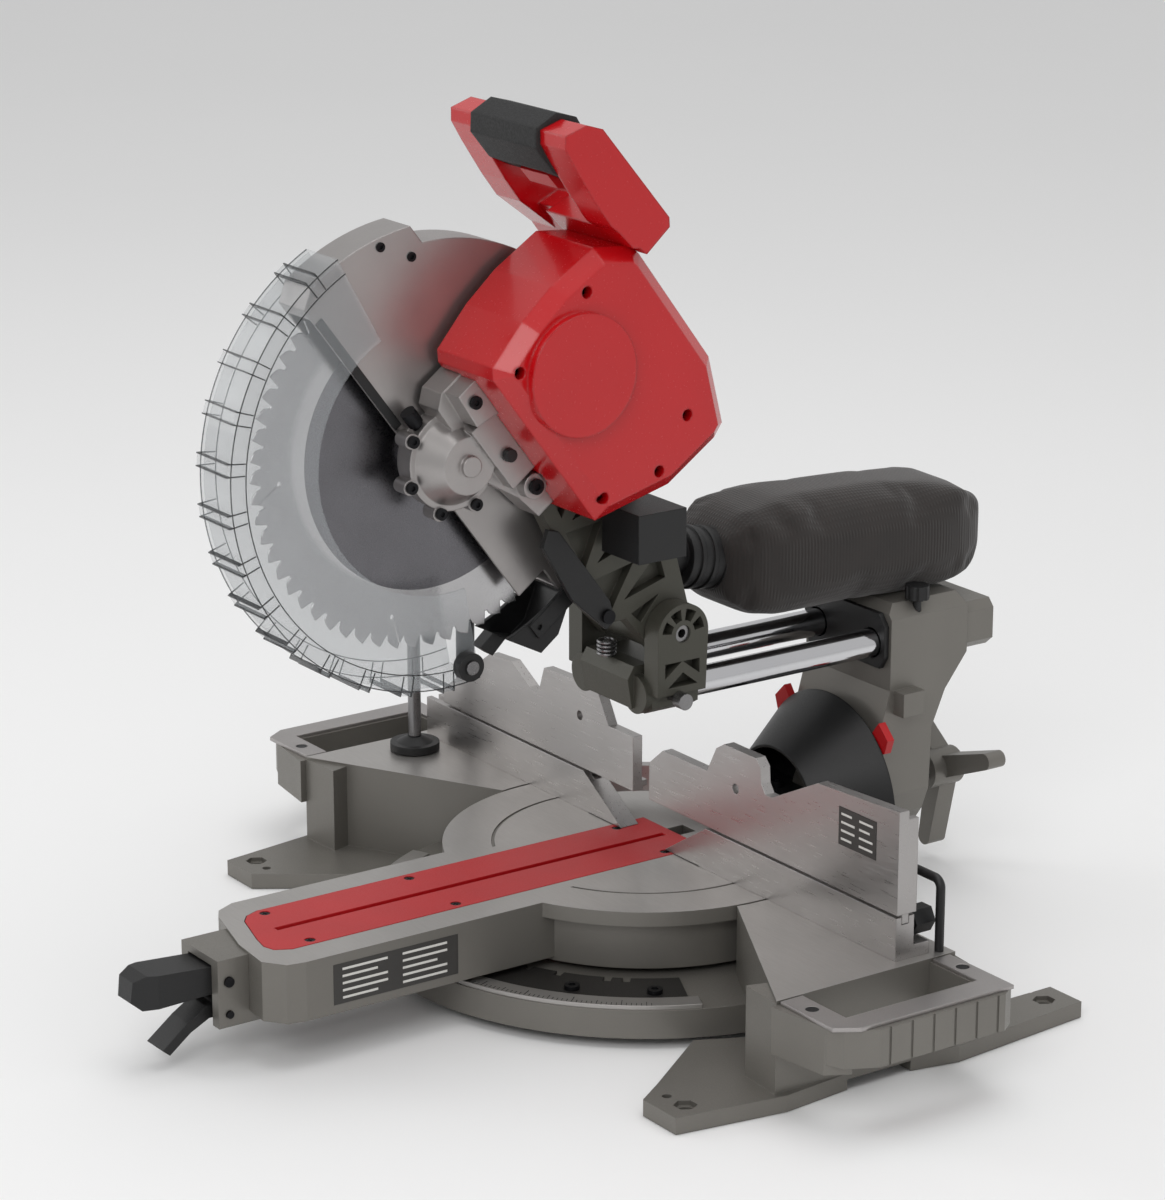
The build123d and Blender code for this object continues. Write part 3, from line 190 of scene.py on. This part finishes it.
# Etched scale ring outside, dark detent plate inside.
scale_and_detents = split_surface("etched scale ring and blued detent plate", DARK_PLATE, MILLED,
                                  outside_detents)
# Hard-chromed rail tube.
chrome = surface("hard chrome plate", "D8D8DA", "CDCDD0", 1.0, (0.07, 0.13), 60, 2.0, 0.01)
# Turned steel of shafts and gears.
turned_steel = surface("turned steel", "908F8E", "7E7D80", 0.95, (0.22, 0.38), 20, 0.8, 0.05, (4, 1, 1))
# Black-oxided screws.
black_oxide = surface("black-oxide steel", "1E1E21", "151517", 0.7, (0.34, 0.5), 8, 0.5, 0.05,
                      edge_mm=0.4)
# Glossy red moulding of the motor housing and the handle.
red_gloss = surface("glossy red ABS moulding", "C20812", "B0060F", 0.0, (0.20, 0.28), 120, 2.4, 0.015,
                    coat=0.25, edge_mm=3.0)
# Satin red of the kerf plate and the pointers.
red_satin = surface("satin red moulding", "BE0E16", "AC0B12", 0.0, (0.36, 0.48), 50, 1.0, 0.06)
# Fine-grained black moulding.
black_plastic = surface("grained black polyamide", "141415", "0F0F10", 0.0, (0.40, 0.56), 40, 0.7, 0.18,
                        edge_mm=1.4)
# Dark grey rubber overmould.
rubber = surface("overmoulded rubber", "1F1F20", "181818", 0.0, (0.60, 0.78), 30, 1.6, 0.55,
                 edge_mm=5.0)
# Clear polycarbonate of the moving guard.
clear = surface("clear polycarbonate", "B8BDC0", "AEB3B6", 0.0, (0.05, 0.10), 60, 6.0, 0.02,
                alpha=0.20, specular=0.8)
# Ground blade disc with a polished outer band.
blade_steel = split_surface("ground saw plate with a polished band", BLADE_DARK, BLADE_LIGHT,
                            outside_blade_body)
# Printed black and white marks.
ink_black = surface("black printing ink", "151515", "1D1D1D", 0.0, (0.4, 0.5), 10, 0.5, 0.02)
ink_white = surface("white printing ink", "DEDCD8", "D0CEC9", 0.0, (0.4, 0.5), 10, 0.5, 0.02)
# Vinyl of the generic information labels.
label_vinyl = surface("dark vinyl label", "383634", "302E2C", 0.0, (0.4, 0.5), 10, 0.6, 0.03)
# Iron laminations of the motor.
iron = surface("laminated iron core", "4B4743", "3C3835", 0.8, (0.4, 0.6), 12, 0.6, 0.2, (8, 1, 1))


def bag_fabric():
    """Woven polyester with a visible weave."""
    made = bpy.data.materials.new("woven polyester cloth")
    made.use_nodes = True
    tree = made.node_tree
    tree.nodes.clear()
    place = add(tree, "ShaderNodeTexCoord")
    thread = 1.6        # millimetres, coarser than the real weave so that it shows
    threads = []
    for direction in ("X", "Y"):
        wave = add(tree, "ShaderNodeTexWave", {"Vector": place.outputs["Object"], "Distortion": 0.6,
                                               "Scale": 1 / (thread * MM) / 6.283}, bands_direction=direction)
        threads.append(wave.outputs["Fac"])
    weave = add(tree, "ShaderNodeMath", {0: threads[0], 1: threads[1]}, operation="MULTIPLY")
    worn = noise(tree, 26, 5.0)
    mixed = add(tree, "ShaderNodeMix", {0: worn, 6: srgb("2A2421"), 7: srgb("1C1816")}, data_type="RGBA")
    rise = add(tree, "ShaderNodeBump", {"Height": weave.outputs[0], "Strength": 0.5, "Distance": 0.5 * MM})
    shader = add(tree, "ShaderNodeBsdfPrincipled", {"Base Color": mixed.outputs[2], "Roughness": 0.85,
                                                    "Normal": rise.outputs[0], "Sheen Weight": 0.25})
    add(tree, "ShaderNodeOutputMaterial", {"Surface": shader.outputs[0]})
    return made


cloth = bag_fabric()
FINISH = {
    "grey_casting": powder_grey, "olive_casting": powder_olive, "bare_alloy": cast_silver,
    "steel": turned_steel, "dark_screws": black_oxide, "chrome_steel": chrome,
    "red_plastic": red_gloss, "black_plastic": black_plastic, "rubber": rubber,
    "clear_plastic": clear, "blade_steel": blade_steel, "bag_cloth": cloth, "copper_and_iron": iron,
}
OWN_FINISH = {
    "base_casting": milled_table, "turntable": milled_table,
    "miter_scale_and_detents": scale_and_detents,
    "kerf_plate": red_satin, "bevel_pointers": red_satin, "trigger": red_satin,
    "lower_fence": ground_alloy, "left_upper_fence": ground_alloy,
    "right_upper_fence": ground_alloy,
}
for part in frame["record"]["subparts"]:
    finish = OWN_FINISH.get(part["node"], FINISH[part["material_slot"]])
    piece = nodes[part["node"]]
    piece.data.materials.clear()
    piece.data.materials.append(finish)


# ---------------------------------------------------------------- added marks
def mesh_piece(name, build, material, body):
    """A new mesh, filled by build, that rides on a body."""
    mesh = bpy.data.meshes.new(name)
    shape = bmesh.new()
    build(shape)
    shape.to_mesh(mesh)
    shape.free()
    mesh.materials.append(material)
    piece = bpy.data.objects.new(name, mesh)
    bpy.context.scene.collection.objects.link(piece)
    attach(piece, body)
    return piece


def bar(shape, centre, size, turn=Matrix.Identity(4)):
    """Adds a box of a size in millimetres."""
    scale = Matrix.Diagonal((*[s * MM for s in size], 1.0))
    where = Matrix.Translation(Vector(centre) * MM)
    bmesh.ops.create_cube(shape, size=1.0, matrix=where @ turn @ scale)


def tick_length(degree, lengths, steps):
    """Length of a scale line: long, middle or short."""
    for length, step in zip(lengths, steps):
        if degree % step == 0:
            return length
    return lengths[-1]


def scale_ticks(shape):
    """Lines of the miter scale, one for each degree."""
    for degree in range(-56, 57):
        length = tick_length(degree, (9, 6.5, 4), (10, 5))
        a = math.radians(degree - 90)
        r = SCALE_R - length / 2
        turn = Matrix.Rotation(a, 4, "Z")
        spot = (r * math.cos(a), MITER_Y + r * math.sin(a), SCALE_TOP)
        bar(shape, spot, (length, 0.5, 0.2), turn)


def drum_ticks(shape):
    """Lines of the bevel scale, on the drum's cone."""
    slant = math.atan2(36, 56)
    for degree in range(-48, 49):
        length = tick_length(degree, (12, 8, 5), (15, 5))
        a = math.radians(degree + 90)
        r = DRUM_R - length * 0.27
        turn = Matrix.Rotation(math.radians(-degree), 4, "Y") @ Matrix.Rotation(slant, 4, "X")
        spot = (r * math.cos(a), DRUM_FRONT_Y - length * 0.42, DRUM_AXIS_Z + r * math.sin(a))
        bar(shape, spot, (0.6, length, 0.4), turn)


def label(name, corners, body, rows=5):
    """Dark label on a flat face, with pale rules in place of words.

    corners holds the origin and the two sides, along and up, in millimetres.
    """
    origin, along, up = (Vector(c) for c in corners)
    out = along.cross(up).normalized()
    turn = Matrix((along.normalized(), up.normalized(), out)).transposed().to_4x4()
    middle = origin + (along + up) / 2
    size = (along.length, up.length)

    def plate(shape):
        bar(shape, middle + out * 0.15, (*size, 0.3), turn)

    def rules(shape):
        for column in range(2):
            for row in range(rows):
                length = size[0] * (0.36 if (row + column) % 3 else 0.28)
                spot = origin + along * (0.07 + 0.48 * column) + up * ((row + 0.8) / (rows + 0.6))
                spot += along.normalized() * length / 2
                bar(shape, spot + out * 0.4, (length, size[1] * 0.06, 0.2), turn)

    mesh_piece(name, plate, label_vinyl, body)
    mesh_piece(name + "_rules", rules, ink_white, body)


def rim_edges(shape):
    """Dark bars on the edges of the boxes along the clear guard's rim: painted shade where the clear edges look
    dark.
    """
    for step in range(13):
        for side in (-1.5, 1.5):
            a = math.radians(GUARD_START + 8 + 12 * step + side)
            centre = Vector(BLADE_AXIS) / MM + Vector((0, 183 * math.cos(a), 183 * math.sin(a)))
            bar(shape, centre, (43.4, 3.4, 0.9), Matrix.Rotation(a, 4, "X"))
            for x in (-21.7, 21.7):
                flat = centre + Vector((x, -7 * math.cos(a), -7 * math.sin(a)))
                bar(shape, flat, (0.5, 14, 0.9), Matrix.Rotation(a, 4, "X"))


def rim_bands(shape):
    """Painted shade: a dark line along the guard's rim on each flank, where the clear edge looks dark, built from
    short chords.
    """
    count = 80
    for step in range(count):
        a = math.radians(GUARD_START + GUARD_SWEEP * (step + 0.5) / count)
        for r in (168, 180.6):
            for x in (-21.7, 21.7):
                centre = Vector(BLADE_AXIS) / MM + Vector((x, r * math.cos(a), r * math.sin(a)))
                chord = r * math.radians(GUARD_SWEEP / count) + 0.3
                bar(shape, centre, (0.4, 0.8, chord), Matrix.Rotation(a, 4, "X"))


# Painted shade: dark, half-clear bars where the clear guard's edges and boxes look dark; the guard itself is
# clear.
guard_edge_painted_shade = surface("painted shade on the clear guard's edges", "34373A", "2C2F31", 0.0, (0.1, 0.2), 20, 3.0, 0.02,
                 alpha=0.75)
mesh_piece("guard_rim_boxes", rim_edges, guard_edge_painted_shade, "lower_guard")
mesh_piece("guard_rim_lines", rim_bands, guard_edge_painted_shade, "lower_guard")
label("arm_label", ((69, -322, 46), (0, 110, 0), (0, 0, 32)), "turntable")
label("fence_label", ((248, 10, 158), (44, 0, 0), (0, 0, 30)), "right_upper_fence", 4)
mesh_piece("miter_scale_ticks", scale_ticks, ink_black, "base")
mesh_piece("bevel_scale_ticks", drum_ticks, ink_white, "turntable")


# ---------------------------------------------------------------- soft dust bag
def applied(piece):
    """The piece's mesh with its modifiers applied, in place."""
    made = bpy.data.meshes.new_from_object(piece.evaluated_get(bpy.context.evaluated_depsgraph_get()))
    piece.modifiers.clear()
    piece.data = made
    return made


def inflate(piece, most):
    """Loose cloth blown out by a little pressure; no point moves more than most."""
    rest = [v.co.copy() for v in piece.data.vertices]
    cloth_settings = piece.modifiers.new("cloth", "CLOTH").settings
    cloth_settings.quality = 5
    cloth_settings.mass = 0.2
    cloth_settings.tension_stiffness = 12
    cloth_settings.compression_stiffness = 12
    cloth_settings.bending_stiffness = 0.3
    cloth_settings.shrink_min = -0.07
    cloth_settings.use_pressure = True
    cloth_settings.uniform_pressure_force = 4
    cloth_settings.effector_weights.gravity = 0
    for step in range(1, 21):
        bpy.context.scene.frame_set(step)
    applied(piece)
    for vertex, home in zip(piece.data.vertices, rest):
        move = vertex.co - home
        if move.length > most:
            vertex.co = home + move * (most / move.length)
    bpy.context.scene.frame_set(1)


def build_bag():
    """Cloth bag in the place of the plain solid."""
    source = nodes["dust_bag"].data
    bag = bpy.data.objects.new("cloth_dust_bag", source.copy())
    bpy.context.scene.collection.objects.link(bag)
    remesh = bag.modifiers.new("remesh", "REMESH")
    remesh.mode, remesh.voxel_size = "VOXEL", 5 * MM
    applied(bag)
    smooth = bag.modifiers.new("smooth", "SMOOTH")
    smooth.iterations = 8
    applied(bag)
    inflate(bag, 9 * MM)
    subdivision = bag.modifiers.new("subdivision", "SUBSURF")
    subdivision.levels = subdivision.render_levels = 1
    applied(bag)
    bag.data.polygons.foreach_set("use_smooth", [True] * len(bag.data.polygons))
    bag.data.materials.clear()
    bag.data.materials.append(cloth)
    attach(bag, "head")
    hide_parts("dust_bag")


build_bag()


# ---------------------------------------------------------------- stage, light and camera
def area_light(name, place, aim, size, power):
    """Softbox at a place, turned to an aim point."""
    data = bpy.data.lights.new(name, "AREA")
    data.shape = "RECTANGLE"
    data.size, data.size_y = size
    data.energy = power
    lamp = bpy.data.objects.new(name, data)
    bpy.context.scene.collection.objects.link(lamp)
    lamp.location = place
    lamp.rotation_euler = (Vector(aim) - Vector(place)).to_track_quat("-Z", "Y").to_euler()


def build_stage():
    """Pale floor, white surroundings and three softboxes."""
    bpy.ops.mesh.primitive_plane_add(size=30, location=(0, 0, -0.0005))
    floor = bpy.context.object
    floor.name = "pale_floor"
    paper = surface("pale seamless paper", "F4F4F4", "F1F1F1", 0.0, (0.75, 0.85), 900, 40, 0.01)
    floor.data.materials.append(paper)
    world = bpy.data.worlds.new("pale studio")
    world.use_nodes = True
    sky = world.node_tree.nodes["Background"]
    sky.inputs["Color"].default_value = (1, 1, 1, 1)
    sky.inputs["Strength"].default_value = 0.62
    bpy.context.scene.world = world
    target = (0, -0.05, 0.3)
    area_light("key softbox", (2.2, -2.6, 2.6), target, (2.0, 1.4), 34)
    area_light("overhead softbox", (0.2, 0.2, 3.0), target, (2.4, 2.0), 26)
    area_light("left fill", (-2.4, -1.8, 1.4), target, (1.0, 2.0), 12)


def build_camera():
    """Long lens at the right front, a little above the table."""
    azimuth, elevation, distance = math.radians(55.1), math.radians(17.7), 3.060
    target = Vector((0, -0.0548, 0.250))
    back = Vector((math.sin(azimuth) * math.cos(elevation), -math.cos(azimuth) * math.cos(elevation),
                   math.sin(elevation)))
    data = bpy.data.cameras.new("studio camera")
    camera = bpy.data.objects.new("studio camera", data)
    bpy.context.scene.collection.objects.link(camera)
    camera.location = target + back * distance
    camera.rotation_euler = back.to_track_quat("Z", "Y").to_euler()
    data.lens, data.sensor_width = 118.2, 36
    data.shift_x, data.shift_y = 0.0052, 0.048
    bpy.context.scene.camera = camera
    bpy.context.scene.view_settings.view_transform = "Standard"


build_stage()
build_camera()
